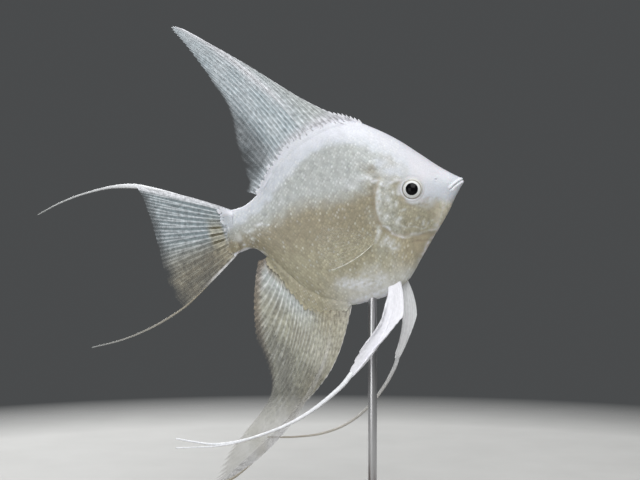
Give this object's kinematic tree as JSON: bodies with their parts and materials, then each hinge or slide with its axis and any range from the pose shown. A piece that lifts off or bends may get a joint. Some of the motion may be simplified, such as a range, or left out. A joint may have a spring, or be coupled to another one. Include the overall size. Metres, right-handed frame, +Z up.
{
  "type": "freshwater angelfish model",
  "caption": "White freshwater angelfish with tall swept fins and long trailing fin threads, as a still life-size model held nose-up by one rod on a flat base",
  "frame": {"origin": "centre of the underside of the stand's base", "axes": "+X towards the fish's head, +Y to the fish's left, +Z up; the fish's middle plane is the XZ plane"},
  "size_m": [0.1543, 0.06, 0.1733],
  "materials": {
    "skin": "wet satin skin with small pearly scales, cool white on the back and warm grey on the flank",
    "fin": "thin satin fin rays and web, white at the root and see-through towards the trailing edge",
    "eye": "clear glossy dome over a white iris and a black pupil",
    "stand_wood": "dark stained hardwood, satin lacquer, softened edges",
    "stand_steel": "fine brushed steel rod and collar"
  },
  "bodies": {
    "root": {"anal_fin_sail": "fin", "anal_fin_spines": "fin", "anal_fin_streamer": "fin", "dorsal_fin_sail": "fin", "dorsal_fin_spines": "fin", "eye_left": "eye", "eye_right": "eye", "gill_cover_left": "skin", "gill_cover_right": "skin", "head": "skin", "lower_jaw": "skin", "pectoral_fin_left": "fin", "pectoral_fin_right": "fin", "pelvic_fin_left": "fin", "pelvic_fin_right": "fin", "pelvic_streamer_left_1": "fin", "pelvic_streamer_left_2": "fin", "pelvic_streamer_left_3": "fin", "pelvic_streamer_right_1": "fin", "pelvic_streamer_right_2": "fin", "pelvic_streamer_right_3": "fin", "pelvic_streamer_right_tip_1": "fin", "pelvic_streamer_right_tip_2": "fin", "stand_base": "stand_wood", "stand_collar": "stand_steel", "stand_rod": "stand_steel", "tail_fin": "fin", "tail_stalk": "skin", "tail_streamer_lower": "fin", "tail_streamer_upper": "fin", "trunk": "skin", "upper_jaw": "skin"}
  },
  "joints": []
}
